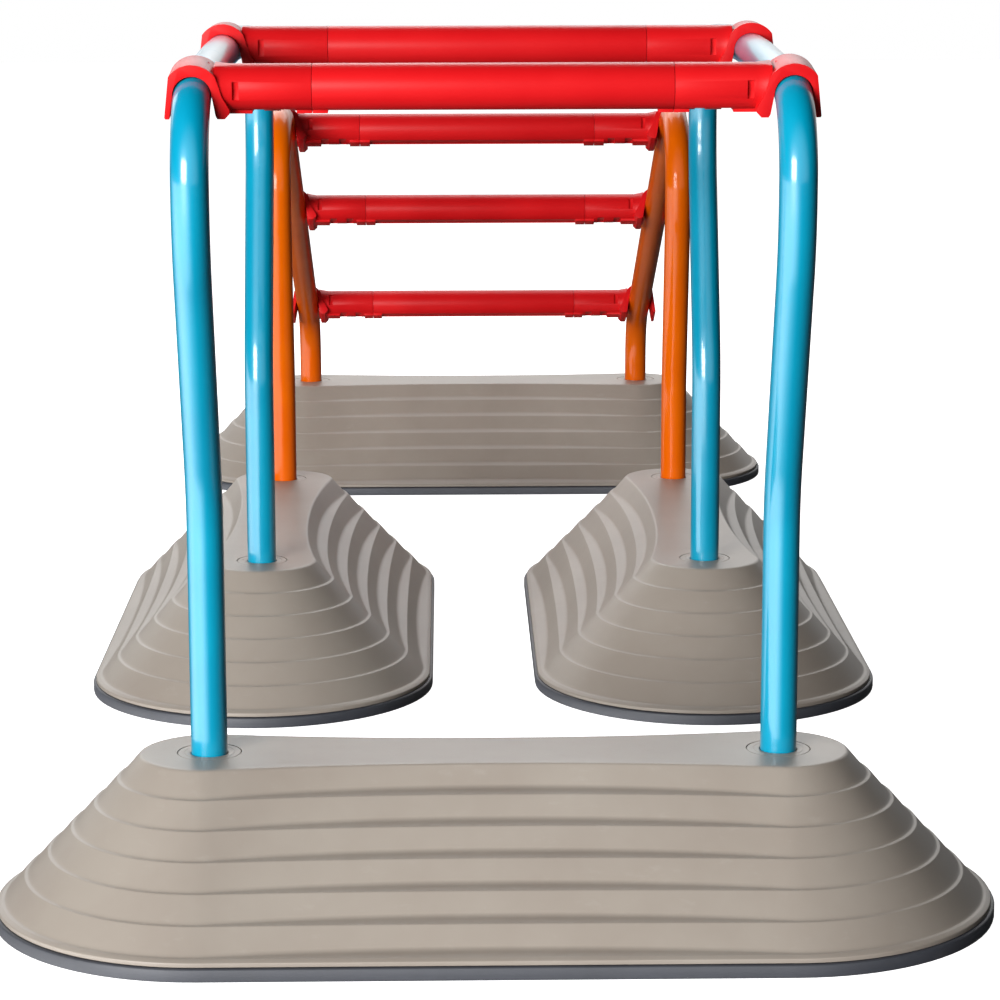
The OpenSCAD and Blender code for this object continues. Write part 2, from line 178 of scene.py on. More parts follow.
def mouldedPlastic(name, colour, darker, roughness, grainBump, clouds, dust=None, shine=0.5):
    s = Shader(name, colour, roughness)
    s.surface.inputs["Specular IOR Level"].default_value = shine
    cloud = s.rescale(s.noise(clouds, *moulding["cloud"]), *moulding["cloudRange"])
    shade = s.blendColours(cloud, colour, darker)
    scuff = s.rescale(s.noise(*moulding["scuff"]), *moulding["scuffRange"])
    if dust:
        shade = s.blendColours(s.rescale(scuff, 0, 1, 0, moulding["scuffDust"]), shade, dust)
    s.link(shade, s.surface.inputs["Base Color"])
    rougher = roughness + moulding["scuffRoughness"]
    s.link(s.rescale(scuff, 0, 1, roughness, rougher), s.surface.inputs["Roughness"])
    ripple = (s.noise(*moulding["ripple"]), *moulding["rippleBump"])
    s.bump([ripple, (s.noise(*moulding["grain"]), grainBump, moulding["grainDepth"])])
    return s.material


powder = {
    "roughness": (0.34, 0.46),
    "coatRoughness": 0.12,
    "cloud": (16, 3),
    "cloudRange": (0.35, 0.65),
    "rub": (60, 5, 0.7, (1, 1, 0.35)),
    "rubRange": (0.58, 0.75),
    "ripple": (420, 2, 0.5),
    "rippleBump": (0.12, 0.3 * mm),
    "grain": (2400, 1),
    "grainBump": (0.05, 0.1 * mm),
}


def powderCoat(name, colour, darker, coat=0.8, shine=0.3):
    s = Shader(name, colour, powder["roughness"][0])
    cloud = s.rescale(s.noise(*powder["cloud"]), *powder["cloudRange"])
    s.link(s.blendColours(cloud, colour, darker), s.surface.inputs["Base Color"])
    rub = s.rescale(s.noise(*powder["rub"]), *powder["rubRange"])
    s.link(s.rescale(rub, 0, 1, *powder["roughness"]), s.surface.inputs["Roughness"])
    s.surface.inputs["Specular IOR Level"].default_value = shine
    s.surface.inputs["Coat Weight"].default_value = coat
    s.surface.inputs["Coat Roughness"].default_value = powder["coatRoughness"]
    s.bump([(s.noise(*powder[k]), *powder[k + "Bump"]) for k in ("ripple", "grain")])
    return s.material


finishes = {
    "base": mouldedPlastic(
        "mouldedTaupe", linear(156, 147, 137), linear(149, 139, 129), roughness=0.42, grainBump=0.35, clouds=7,
        dust=linear(174, 167, 158), shine=0.4),
    "rubber": mouldedPlastic(
        "stripRubber", linear(60, 62, 69), linear(52, 54, 60), roughness=0.55, grainBump=0.5, clouds=11,
        dust=linear(92, 91, 89)),
    "blue": powderCoat("bluePowderCoat", linear(0, 155, 189), linear(0, 149, 184)),
    "orange": powderCoat("orangePowderCoat", linear(230, 102, 0), linear(225, 95, 0), coat=0.35, shine=0.06),
    "red": mouldedPlastic(
        "mouldedRed", linear(212, 24, 28), linear(207, 20, 25), roughness=0.38, grainBump=0.22, clouds=14,
        shine=0.12),
    "plug": mouldedPlastic(
        "plugBlack", linear(38, 38, 40), linear(30, 30, 32), roughness=0.5, grainBump=0.3, clouds=30),
}
print("finishes made")

weld = 0.001 * mm                # points closer than this are one


def meshFrom(name, points, faces, material, sharpAngle=32):
    mesh = bpy.data.meshes.new(name)
    mesh.from_pydata([tuple(p) for p in points], [], faces)
    return finishMesh(mesh, material, sharpAngle)


# merged, with outward normals, smooth but for its sharp edges
def finishMesh(mesh, material, sharpAngle):
    b = bmesh.new()
    b.from_mesh(mesh)
    bmesh.ops.remove_doubles(b, verts=b.verts, dist=weld)
    bmesh.ops.recalc_face_normals(b, faces=b.faces)
    b.to_mesh(mesh)
    b.free()
    mesh.materials.clear()
    mesh.materials.append(material)
    mesh.polygons.foreach_set("use_smooth", [True] * len(mesh.polygons))
    mesh.set_sharp_from_angle(angle=math.radians(sharpAngle))
    mesh.update()
    return mesh


def linkedObject(name, mesh):
    obj = bpy.data.objects.new(name, mesh)
    bpy.context.scene.collection.objects.link(obj)
    return obj


def showPiece(name, mesh, body, slot, *cadNodes):
    obj = linkedObject(name, mesh)
    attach(obj, body)
    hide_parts(*cadNodes)


# the mesh with the object's modifiers applied, and the object itself removed
def bakedMesh(obj, name):
    graph = bpy.context.evaluated_depsgraph_get()
    mesh = bpy.data.meshes.new_from_object(obj.evaluated_get(graph))
    mesh.name = name
    bpy.data.objects.remove(obj)
    return mesh


# points and faces through rings of equal length
# closed joins the last ring to the first, and otherwise both ends are capped
def loft(rings, closed=False):
    n = len(rings[0])
    points = [p for ring in rings for p in ring]
    faces = []
    last = len(rings) if closed else len(rings) - 1
    for j in range(last):
        a, b = j * n, (j + 1) % len(rings) * n
        for i in range(n):
            k = (i + 1) % n
            faces.append((a + i, a + k, b + k, b + i))
    if not closed:
        faces.append(tuple(range(n - 1, -1, -1)))
        faces.append(tuple(range(len(points) - n, len(points))))
    return points, faces


# turns a profile of (radius, height) points about an axis
def lathe(profile, steps, axis="Z", closed=True):
    rings = []
    for radius, height in profile:
        ring = []
        for i in range(steps):
            a = 2 * math.pi * i / steps
            u, v = radius * math.cos(a), radius * math.sin(a)
            ring.append((u, v, height) if axis == "Z" else (height, u, v))
        rings.append(ring)
    return loft(rings, closed)


# a line of points of any dimension, with each inner corner rounded over its size
# a rounding takes no more than the largest share of a side
def rounded(points, sizes, steps, largest=0.45):
    out = [tuple(points[0])]
    for i in range(1, len(points) - 1):
        corner = points[i]
        ends = []
        for other in (points[i - 1], points[i + 1]):
            away = [o - c for o, c in zip(other, corner)]
            length = max(math.hypot(*away), 1e-9)
            share = min(sizes[i], largest * length) / length
            ends.append([c + share * a for c, a in zip(corner, away)])
        for k in range(steps + 1):
            t = k / steps
            weights = (1 - t) ** 2, 2 * t * (1 - t), t * t
            out.append(tuple(
                sum(w * v for w, v in zip(weights, values)) for values in zip(ends[0], corner, ends[1])))
    out.append(tuple(points[-1]))
    return out


def boolean(obj, operation, cutter):
    m = obj.modifiers.new("join", "BOOLEAN")
    m.operation = operation
    m.object = cutter
    m.solver = "EXACT"


def moved(mesh, matrix):
    copy = mesh.copy()
    copy.transform(matrix)
    if matrix.determinant() < 0:
        copy.flip_normals()
    return copy


stripLow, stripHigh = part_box("front_rubber_strip")
base = {
    "reach": 235 * mm,           # centre to each socket
    "rimRadius": (stripHigh.y - stripLow.y) / 2,
    "height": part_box("front_base")[1].z,
    "stripHeight": stripHigh.z,
    "stripThickness": 6 * mm,
    "stripFloor": 3 * mm,
    "terraces": 6,
    "terraceInset": 1 * mm,      # lowest terrace inside the strip's inner face
    "topRadius": 57 * mm,
    "topWaist": 40 * mm,
    "topFlat": 12 * mm,          # ring of flat top inside its edge
    "treadMid": 12 * mm,         # tread depth at the middle of the long side
    "treadEnd": 3 * mm,          # and round the ends
    "treadDrop": 0.22,
    "lipHeight": 4 * mm,
    "lipSlope": 2 * mm,
    "lipGap": 0.4 * mm,          # under the lip
    "lipEdges": (0, 0.4 * mm, 0.8 * mm, 1.2 * mm),
    "wall": 4 * mm,
    "wallShare": 0.72,           # of the wall, square to the slope
    "topPlate": 6 * mm,
    "plateInset": 1 * mm,
    "waistPower": 2.2,
    "endSteps": 44,
    "sideSteps": 52,
    "filletSteps": 4,
    "stepEdge": 1.4 * mm,        # rounding of a tread's outer edge
    "stepFoot": 4.2 * mm,        # and of its inner corner
    "topEdge": 3.0 * mm,
    "flangeRadius": 26.8 * mm,
    "flangeDepth": 3.2 * mm,
    "cupRadius": 20.6 * mm,
    "cupReach": 16 * mm,         # seat's cutter below the top plate
    "holeSteps": 96,
    "sharpAngle": 38,
}
rimInside = base["rimRadius"] - base["stripThickness"]


# one ring: round ends of radius r, sides drawn in to w at the middle
def outlineRing(r, w, zEnd, zMid):
    reach, power = base["reach"], base["waistPower"]
    ring = []
    for end in (1, -1):
        for i in range(base["endSteps"]):
            a = math.pi * i / base["endSteps"] - math.pi / 2
            ring.append((end * (reach + r * math.cos(a)), end * r * math.sin(a), zEnd))
        for i in range(base["sideSteps"]):
            x = reach - 2 * reach * i / base["sideSteps"]
            share = 1 - (abs(x) / reach) ** power
            ring.append((end * x, end * (r - (r - w) * share), zEnd + (zMid - zEnd) * share))
    return ring


# a step of the section that is the same all the way round
def level(radius, height):
    return (radius, radius, height, height)


def baseSections():
    foot, lip = rimInside, rimInside + base["stripThickness"] / 2
    lipFoot, lipTop = base["stripHeight"] + base["lipGap"], base["stripHeight"] + base["lipHeight"]
    z0, r0 = lipTop + base["lipSlope"], foot - base["terraceInset"]
    count, height, wall = base["terraces"], base["height"], base["wall"]
    stepHeight = (height - z0) / count
    endRun, midRun = (r0 - base["topRadius"]) / count, (r0 - base["topWaist"]) / count
    treadEnd, treadMid, drop = base["treadEnd"], base["treadMid"], base["treadDrop"]
    inwards, plate = base["wallShare"] * wall, height - base["topPlate"]

    outer = [level(foot, base["stripFloor"]), level(foot, lipFoot), level(lip, lipFoot), level(lip, lipTop)]
    inner = [level(foot - wall, base["stripFloor"]), level(foot - wall, base["stripHeight"])]
    sizes = list(base["lipEdges"])
    for k in range(count):
        r, w, z = r0 - k * endRun, r0 - k * midRun, z0 + k * stepHeight
        endZ, midZ = z + treadEnd * drop, z + treadMid * drop
        outer += [(r, w, z, z), (r - treadEnd, w - treadMid, endZ, midZ)]
        inner.append((r - treadEnd - inwards, w - treadMid - inwards, endZ - inwards, midZ - inwards))
        sizes += [base["stepEdge"], base["stepFoot"]]
    outer.append((base["topRadius"], base["topWaist"], height, height))
    outer.append((base["topRadius"] - base["topFlat"], base["topWaist"] - base["topFlat"], height, height))
    inner.append((base["topRadius"] - base["plateInset"], base["topWaist"] - wall, plate, plate))
    sizes += [base["topEdge"], 0]
    return rounded(outer, sizes, base["filletSteps"]), inner


def baseShellMesh():
    outer, inner = baseSections()
    points, faces = loft([outlineRing(*p) for p in inner[::-1] + outer])
    shell = linkedObject("shell", meshFrom("shell", points, faces, finishes["base"]))
    cutters = []
    above = base["height"] + 10 * mm
    seats = ((base["flangeRadius"], base["flangeDepth"]), (base["cupRadius"], base["topPlate"] + base["cupReach"]))
    for side in (-1, 1):
        for radius, depth in seats:
            points, faces = lathe([(radius, base["height"] - depth), (radius, above)], base["holeSteps"], closed=False)
            cutter = linkedObject("cutter", meshFrom("cutter", points, faces, finishes["base"]))
            cutter.data.transform(Matrix.Translation((side * base["reach"], 0, 0)))
            boolean(shell, "DIFFERENCE", cutter)
            cutters.append(cutter)
    mesh = bakedMesh(shell, "baseShell")
    for cutter in cutters:
        bpy.data.objects.remove(cutter)
    return finishMesh(mesh, finishes["base"], base["sharpAngle"])


strip = {
    "play": 0.1 * mm,            # to the shell inside it
    "shelf": 6 * mm,             # its floor runs in under the shell
    "bead": 1.6 * mm,            # rounding of the outer edges
    "beadLow": (0.3 * mm, 0.4 * mm),
    "beadHigh": 0.5 * mm,
    "innerEdge": 0.6 * mm,
    "sharpAngle": 50,
}


def rubberStripMesh():
    outer, height, floor = base["rimRadius"], base["stripHeight"], base["stripFloor"]
    inside = rimInside + strip["play"]
    shelf, bead, high = inside - strip["shelf"], strip["bead"], strip["beadHigh"]
    lowX, lowZ = strip["beadLow"]
    profile = [
        (shelf, 0), (outer - bead, 0), (outer - lowX, lowZ), (outer, bead), (outer, height - bead),
        (outer - high, height - high), (outer - bead, height), (inside + strip["innerEdge"], height),
        (inside, height - high), (inside, floor), (shelf, floor),
    ]
    points, faces = loft([outlineRing(r, r, z, z) for r, z in profile], closed=True)
    return meshFrom("rubberStrip", points, faces, finishes["rubber"], strip["sharpAngle"])


socket = {
    "sunk": 0.1 * mm,            # below the base's top
    "bore": 15.5 * mm,           # radii
    "cup": 20.5 * mm,
    "flange": 26.4 * mm,
    "drain": 4 * mm,
    "floor": 3.7 * mm,
    "footEdge": 1 * mm,
    "flangeThickness": 3 * mm,
    "flangeEdge": 0.7 * mm,
    "groove": (5.6 * mm, 5.2 * mm, 4.8 * mm),  # outer, middle and inner line, from the bore
    "grooveDepth": 0.25 * mm,
    "mouth": (1.0 * mm, 0.3 * mm, 1.2 * mm),   # width, middle and depth of the rounded mouth
    "steps": 72,
}


def socketMesh():
    low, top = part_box("front_sockets")[0].z, base["height"] - socket["sunk"]
    bore, cup, flange, drain = (socket[k] for k in ("bore", "cup", "flange", "drain"))
    edge, foot, under = socket["flangeEdge"], socket["footEdge"], top - socket["flangeThickness"]
    grooveOut, grooveMid, grooveIn = (bore + g for g in socket["groove"])
    mouthWidth, mouthMid, mouthDepth = socket["mouth"]
    profile = [
        (drain, low), (cup - foot, low), (cup, low + foot), (cup, under), (flange, under), (flange, top - edge),
        (flange - edge, top), (grooveOut, top), (grooveMid, top - socket["grooveDepth"]), (grooveIn, top),
        (bore + mouthWidth, top), (bore + mouthMid, top - mouthMid), (bore, top - mouthDepth),
        (bore, low + socket["floor"]), (drain, low + socket["floor"]),
    ]
    points, faces = lathe(profile, socket["steps"])
    both, bothFaces = [], []
    for side in (-1, 1):
        start = len(both)
        both += [(x + side * base["reach"], y, z) for x, y, z in points]
        bothFaces += [tuple(i + start for i in f) for f in faces]
    return meshFrom("sockets", both, bothFaces, finishes["base"])


basePlaces = {}
for name in ("front", "left", "right", "rear"):
    low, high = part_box(name + "_rubber_strip")
    turn = Matrix.Rotation(math.pi / 2, 4, "Z") if name in ("left", "right") else Matrix.Identity(4)
    basePlaces[name] = Matrix.Translation(((low.x + high.x) / 2, (low.y + high.y) / 2, 0)) @ turn

shellMesh, stripMesh, cupMesh = baseShellMesh(), rubberStripMesh(), socketMesh()
for name, place in basePlaces.items():
    showPiece(name + "Base", moved(shellMesh, place), "bases", "base_plastic", name + "_base")
    showPiece(name + "RubberStrip", moved(stripMesh, place), "bases", "rubber", name + "_rubber_strip")
    showPiece(name + "Sockets", moved(cupMesh, place), "bases", "base_plastic", name + "_sockets")
print("bases made")

frontY, rearY = basePlaces["front"].translation.y, basePlaces["rear"].translation.y
sideFrontY = basePlaces["left"].translation.y - base["reach"]
sideRearY = basePlaces["left"].translation.y + base["reach"]
halfX = basePlaces["right"].translation.x
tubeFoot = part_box("hoop_tube_left")[0].z
tube = {
    "radius": 15 * mm,
    "sides": 40,
    "arcStep": 2.0,              # degrees of bend between rings
    "fewestSteps": 4,
    "sharpAngle": 40,
    "hoopHeight": 694 * mm,
    "crownTilt": 3.0,
    "crownRadius": 5400 * mm,
    "hoopSweep": 84 * mm,
    "sweepLow": 347 * mm,
    "sweepHigh": 564 * mm,
    "hoopBend": 70 * mm,
    "legBend": 180 * mm,
    "slopeSweep": 37 * mm,
    "slopeSweepLow": 252 * mm,
    "slopeSweepHigh": 449 * mm,
    "slopeAngle": 26.0,
    "slopeEndHeight": 217.5 * mm,
    "slopeTopBend": 80 * mm,
    "slopeLowBend": 83 * mm,
}


# points [y, z] along straight lines joined by arcs
def bentPath(corners, radii):
    path = [Vector(corners[0])]
    for i in range(1, len(corners) - 1):
        corner = Vector(corners[i])
        before = (corner - Vector(corners[i - 1])).normalized()
        after = (Vector(corners[i + 1]) - corner).normalized()
        turn = math.atan2(before.x * after.y - before.y * after.x, before.dot(after))
        side = 1 if turn > 0 else -1
        start = corner - before * radii[i] * math.tan(abs(turn) / 2)
        centre = start + Vector((-before.y, before.x)) * side * radii[i]
        first = math.atan2(start.y - centre.y, start.x - centre.x)
        steps = max(tube["fewestSteps"], round(math.degrees(abs(turn)) / tube["arcStep"]))
        for k in range(steps + 1):
            a = first + turn * k / steps
            path.append(centre + radii[i] * Vector((math.cos(a), math.sin(a))))
    path.append(Vector(corners[-1]))
    return path


# sweeps a round section along the object's own line of edges
def tubeTree():
    tree = bpy.data.node_groups.new("sweptTube", "GeometryNodeTree")
    face = tree.interface
    face.new_socket("Geometry", in_out="INPUT", socket_type="NodeSocketGeometry")
    for label, kind in (("Radius", "Float"), ("Sides", "Int"), ("Finish", "Material")):
        face.new_socket(label, in_out="INPUT", socket_type="NodeSocket" + kind)
    face.new_socket("Geometry", in_out="OUTPUT", socket_type="NodeSocketGeometry")
    add, link = tree.nodes.new, tree.links.new
    source, result = add("NodeGroupInput"), add("NodeGroupOutput")
    curve, section = add("GeometryNodeMeshToCurve"), add("GeometryNodeCurvePrimitiveCircle")
    sweep, real = add("GeometryNodeCurveToMesh"), add("GeometryNodeRealizeInstances")
    paint = add("GeometryNodeSetMaterial")
    sweep.inputs["Fill Caps"].default_value = True
    link(source.outputs["Geometry"], curve.inputs["Mesh"])
    link(source.outputs["Radius"], section.inputs["Radius"])
    link(source.outputs["Sides"], section.inputs["Resolution"])
    link(curve.outputs["Curve"], sweep.inputs["Curve"])
    link(section.outputs["Curve"], sweep.inputs["Profile Curve"])
    link(sweep.outputs["Mesh"], real.inputs["Geometry"])
    link(real.outputs["Geometry"], paint.inputs["Geometry"])
    link(source.outputs["Finish"], paint.inputs["Material"])
    link(paint.outputs["Geometry"], result.inputs["Geometry"])
    return tree


def sweptTube(name, path, x, finish):
    line = bpy.data.meshes.new(name + "Line")
    line.from_pydata([(x, p.x, p.y) for p in path], [(i, i + 1) for i in range(len(path) - 1)], [])
    obj = linkedObject(name, line)
    m = obj.modifiers.new("tube", "NODES")
    m.node_group = tubeShape
    values = {"Radius": tube["radius"], "Sides": tube["sides"], "Finish": finish}
    for item in tubeShape.interface.items_tree:
        if item.in_out == "INPUT" and item.name in values:
            m[item.identifier] = values[item.name]
    return finishMesh(bakedMesh(obj, name), finish, tube["sharpAngle"])


# height of the hoop's arched axis
def crownZ(y, middle):
    away, radius, tilt = abs(y - middle), tube["crownRadius"], math.radians(tube["crownTilt"])
    if away < radius * math.sin(tilt):
        return tube["hoopHeight"] - radius + math.sqrt(radius * radius - away * away)
    return crownPeak - away * math.tan(tilt)


def slopeZ(y):
    return tube["slopeEndHeight"] + (rearY - y) * math.tan(math.radians(tube["slopeAngle"]))


tubeShape = tubeTree()
hoopMiddle = (frontY + sideFrontY) / 2
crownPeak = tube["hoopHeight"] + tube["crownRadius"] * (1 / math.cos(math.radians(tube["crownTilt"])) - 1)
hoopOut, hoopIn = frontY - tube["hoopSweep"], sideFrontY + tube["hoopSweep"]
hoopCorners = [
    (frontY, tubeFoot), (frontY, tube["sweepLow"]),
    (hoopOut, tube["sweepHigh"]), (hoopOut, crownZ(hoopOut, hoopMiddle)),
    (hoopMiddle, crownPeak),
    (hoopIn, crownZ(hoopIn, hoopMiddle)), (hoopIn, tube["sweepHigh"]),
    (sideFrontY, tube["sweepLow"]), (sideFrontY, tubeFoot),
]
legBends = [0, tube["legBend"], tube["legBend"]]
hoopRadii = legBends + [tube["hoopBend"], tube["crownRadius"], tube["hoopBend"]] + legBends[::-1]
slopeOut = sideRearY - tube["slopeSweep"]
slopeCorners = [
    (sideRearY, tubeFoot), (sideRearY, tube["slopeSweepLow"]),
    (slopeOut, tube["slopeSweepHigh"]), (slopeOut, slopeZ(slopeOut)),
    (rearY, slopeZ(rearY)), (rearY, tubeFoot),
]
slopeRadii = legBends + [tube["slopeTopBend"], tube["slopeLowBend"], 0]
hoopPath, slopePath = bentPath(hoopCorners, hoopRadii), bentPath(slopeCorners, slopeRadii)
for side, x in (("left", -halfX), ("right", halfX)):
    hoop = sweptTube("hoopTube" + side.title(), hoopPath, x, finishes["blue"])
    showPiece("hoopTube" + side.title(), hoop, "hoops", "blue_paint", "hoop_tube_" + side)
    slope = sweptTube("slopeTube" + side.title(), slopePath, x, finishes["orange"])
    showPiece("slopeTube" + side.title(), slope, "slope_frames", "orange_paint", "slope_tube_" + side)
for name in ("hoop_end_plugs", "slope_end_plugs"):
    frame["nodes"][name].data.materials.clear()
    frame["nodes"][name].data.materials.append(finishes["plug"])
print("tubes made")

bar = {
    "radius": 18.5 * mm,
    "lift": 3 * mm,              # bar's axis over the tube's axis
    "seam": 142 * mm,            # from the bar's middle
    "grooveWidth": 0.2 * mm,
    "hookWidth": 43 * mm,
    "hookThickness": 9 * mm,
    "hookDrop": 18.3 * mm,
    "saddle": 15.3 * mm,
    "saddleSteps": 32,           # over the half round
    "arcCentre": 2.1 * mm,
    "arcSteps": 24,
    "shoulder": 0.82,            # share of the round top's radius
    "innerLeg": ((2.4 * mm, 8 * mm), (5 * mm, -1 * mm)),  # out from the shoulder, up from the tube's axis
    "innerFoot": ((10.8 * mm, 7 * mm), (10.8 * mm, 4 * mm), (7 * mm, 0)),  # and up from the hook's foot
    "outerFoot": ((3 * mm, 0), (3.8 * mm, 1.2 * mm)),
    "mouthFlare": 2.8 * mm,
    "mouthEdge": (1.4 * mm, 2.5 * mm),
    "root": 1.4 * mm,            # bar's start inside the shoulder
    "flareLength": 13 * mm,
    "flareWaist": (0.45, 4.5 * mm),                  # share of its spread, and where
    "flareSunk": 0.2 * mm,
    "flareTop": 0.3 * mm,        # below the bar's highest line
    "edge": 0.9 * mm,            # rounding of the moulded edges
    "gripEdge": 0.45 * mm,
    "edgeSegments": 3,
    "edgeAngle": 34,
    "flatAngle": 1,
    "sharpAngle": 30,
    "steps": 72,
    "slot": (31 * mm, 5.2 * mm, 14.5 * mm, 4 * mm),  # start, width, height, depth
    "padWidth": 14 * mm,
    "padThickness": 1.2 * mm,
    "padRoot": 2 * mm,
    "padEnd": 46 * mm,
    "lugLength": 12 * mm,
    "notches": (47 * mm, 68 * mm),
    "notchSize": (8.5 * mm, 18 * mm, 3.2 * mm),
    "channelWidth": 13 * mm,
    "channelDepth": 1.8 * mm,
    "gripWall": 3.4 * mm,
    "gate": (12 * mm, 7 * mm, 1.3 * mm, 0.5 * mm),   # dimple's place on the hook, its radius and depth
    "gateSteps": 20,
    "past": 1 * mm,              # cutters run this far past the plastic
}
hookArc = bar["saddle"] + bar["hookThickness"] - bar["arcCentre"]
shoulderX = hookArc * bar["shoulder"]


def halfRound(radius, steps, share=1.0):
    return [(radius * math.cos(share * math.pi * k / steps), radius * math.sin(share * math.pi * k / steps))
            for k in range(steps + 1)]


# outline of the saddle and its legs about the tube's axis, x towards the bar's middle
def hookSection():
    x, foot, mouth = shoulderX, -bar["hookDrop"], bar["saddle"] + bar["mouthFlare"]
    half, steps = math.asin(bar["shoulder"]), bar["arcSteps"]
    angles = [half * (2 * k / steps - 1) for k in range(steps + 1)]
    top = [(hookArc * math.sin(a), bar["arcCentre"] + hookArc * math.cos(a)) for a in angles]
    edgeX, edgeZ = bar["mouthEdge"]
    legIn = [(x + out, z) for out, z in bar["innerLeg"]] + [(x + out, foot + z) for out, z in bar["innerFoot"]]
    legIn += [(mouth + edgeX, foot), (mouth, foot + edgeZ)]
    arch = halfRound(bar["saddle"], bar["saddleSteps"])
    legOut = [(-mouth, foot)] + [(-x - out, foot + z) for out, z in bar["outerFoot"]]
    return top + legIn + arch + legOut


# a prism along Y, centred, from an outline in XZ
def extruded(name, outline, width):
    rings = [[(x, y, z) for x, z in outline] for y in (-width / 2, width / 2)]
    points, faces = loft(rings)
    return linkedObject(name, meshFrom(name, points, faces, finishes["red"]))


def block(name, low, high):
    outline = [(low[0], low[2]), (high[0], low[2]), (high[0], high[2]), (low[0], high[2])]
    obj = extruded(name, outline, high[1] - low[1])
    obj.data.transform(Matrix.Translation((0, (low[1] + high[1]) / 2, 0)))
    return obj


def turned(name, profile):
    points, faces = lathe(profile, bar["steps"], axis="X", closed=False)
    obj = linkedObject(name, meshFrom(name, points, faces, finishes["red"]))
    obj.data.transform(Matrix.Translation((0, 0, bar["lift"])))
    return obj


# block below the bar, its heights measured down and up from the bar's lowest line
def underside(name, start, length, width, low, high):
    bottom = bar["lift"] - bar["radius"]
    return block(name, (start, -width / 2, bottom - low), (start + length, width / 2, bottom + high))


def pad(name, start, length):
    return underside(name, start, length, bar["padWidth"], bar["padThickness"], bar["padRoot"])


# merges flat areas, then rounds the moulded edges
def softened(mesh, name, width):
    b = bmesh.new()
    b.from_mesh(mesh)
    bmesh.ops.remove_doubles(b, verts=b.verts, dist=2 * weld)
    bmesh.ops.dissolve_limit(b, angle_limit=math.radians(bar["flatAngle"]), verts=b.verts, edges=b.edges)
    b.to_mesh(mesh)
    b.free()
    soft = linkedObject("soft", mesh)
    m = soft.modifiers.new("edges", "BEVEL")
    m.width = width
    m.segments = bar["edgeSegments"]
    m.limit_method = "ANGLE"
    m.angle_limit = math.radians(bar["edgeAngle"])
    m.use_clamp_overlap = True
    return finishMesh(bakedMesh(soft, name), finishes["red"], bar["sharpAngle"])


# the solid with others joined on and others cut away, all of them used up
def carved(solid, added, cut, name):
    for obj in added:
        boolean(solid, "UNION", obj)
    for obj in cut:
        boolean(solid, "DIFFERENCE", obj)
    mesh = bakedMesh(solid, name)
    for obj in added + cut:
        bpy.data.objects.remove(obj)
    return mesh


# collar that widens from the bar to the hook, flat above
def flareSolid(start):
    r, lift, half, end = bar["radius"], bar["lift"], bar["hookWidth"] / 2, start + bar["flareLength"]
    share, waist = bar["flareWaist"]
    profile = [(half, start), (r + share * (half - r), start + waist), (r - bar["flareSunk"], end)]
    flare = turned("flare", profile)
    trim = block("trim", (start, -half, lift - r - bar["padThickness"]), (end, half, lift + r - bar["flareTop"]))
    boolean(flare, "INTERSECT", trim)
    flare = linkedObject("flare", bakedMesh(flare, "flare"))
    bpy.data.objects.remove(trim)
    return flare


# round dimple on the hook's top
def gateCutter():
    x, y, radius, depth = bar["gate"]
    points, faces = lathe([(radius, -depth), (radius, bar["past"])], bar["gateSteps"], closed=False)
    gate = linkedObject("gate", meshFrom("gate", points, faces, finishes["red"]))
    away = math.asin(x / hookArc)
    z = bar["arcCentre"] + hookArc * math.cos(away)
    gate.data.transform(Matrix.Translation((x, y, z)) @ Matrix.Rotation(away, 4, "Y"))
    return gate


# left end piece about the tube's axis
def endPieceMesh():
    r, lift, width, past = bar["radius"], bar["lift"], bar["hookWidth"], bar["past"]
    seam, start = halfX - bar["seam"] - bar["grooveWidth"], shoulderX - bar["root"]
    piece = extruded("saddle", hookSection(), width)
    added = [turned("bar", [(r, start), (r, seam)]), flareSolid(start)]
    added.append(pad("pad", start, bar["padEnd"] - start))
    added.append(pad("lug", seam - bar["lugLength"], bar["lugLength"]))
    around = halfRound(bar["saddle"], 2 * bar["saddleSteps"], share=2.0)[:-1]
    cut = [extruded("bore", around, width + 2 * past)]
    slotX, slotW, slotH, slotD = bar["slot"]
    for side in (-1, 1):
        near, far = sorted((side * (r - slotD), side * (r + past)))
        cut.append(block("slot", (slotX, near, lift - slotH / 2), (slotX + slotW, far, lift + slotH / 2)))
    notchL, notchW, notchT = bar["notchSize"]
    low = bar["padThickness"] + past
    cut += [underside("notch", x, notchL, notchW, low, notchT) for x in bar["notches"]]
    cut.append(gateCutter())
    return softened(carved(piece, added, cut, "endPiece"), "endPiece", bar["edge"])


def gripMesh():
    r, end, lug, past = bar["radius"], bar["seam"] - bar["grooveWidth"], bar["lugLength"], bar["past"]
    inside, bore = end - lug, r - bar["gripWall"]
    grip = turned("grip", [(r, -end), (r, end)])
    lugs = [pad("lug", x, lug) for x in (-end, inside)]
    hollow = turned("bore", [(bore, -end - past), (bore, end + past)])
    low = bar["padThickness"] + past
    channel = underside("channel", -inside, 2 * inside, bar["channelWidth"], low, bar["channelDepth"])
    return softened(carved(grip, lugs, [hollow, channel], "grip"), "grip", bar["gripEdge"])


# matrix from a bar's own frame, about the tube's axis, read from the lift joint and the CAD grip
def barPlace(number):
    low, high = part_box("crossbar_%d_grip" % number)
    centre = Vector((0, (low.y + high.y) / 2, (low.z + high.z) / 2))
    joint = next(j for j in frame["joints"] if j["name"] == "crossbar_%d_lift" % number)
    up = Vector(joint["axis"]).normalized()
    tilt = math.atan2(-up.y, up.z)
    return Matrix.Translation(centre - up * bar["lift"]) @ Matrix.Rotation(tilt, 4, "X")


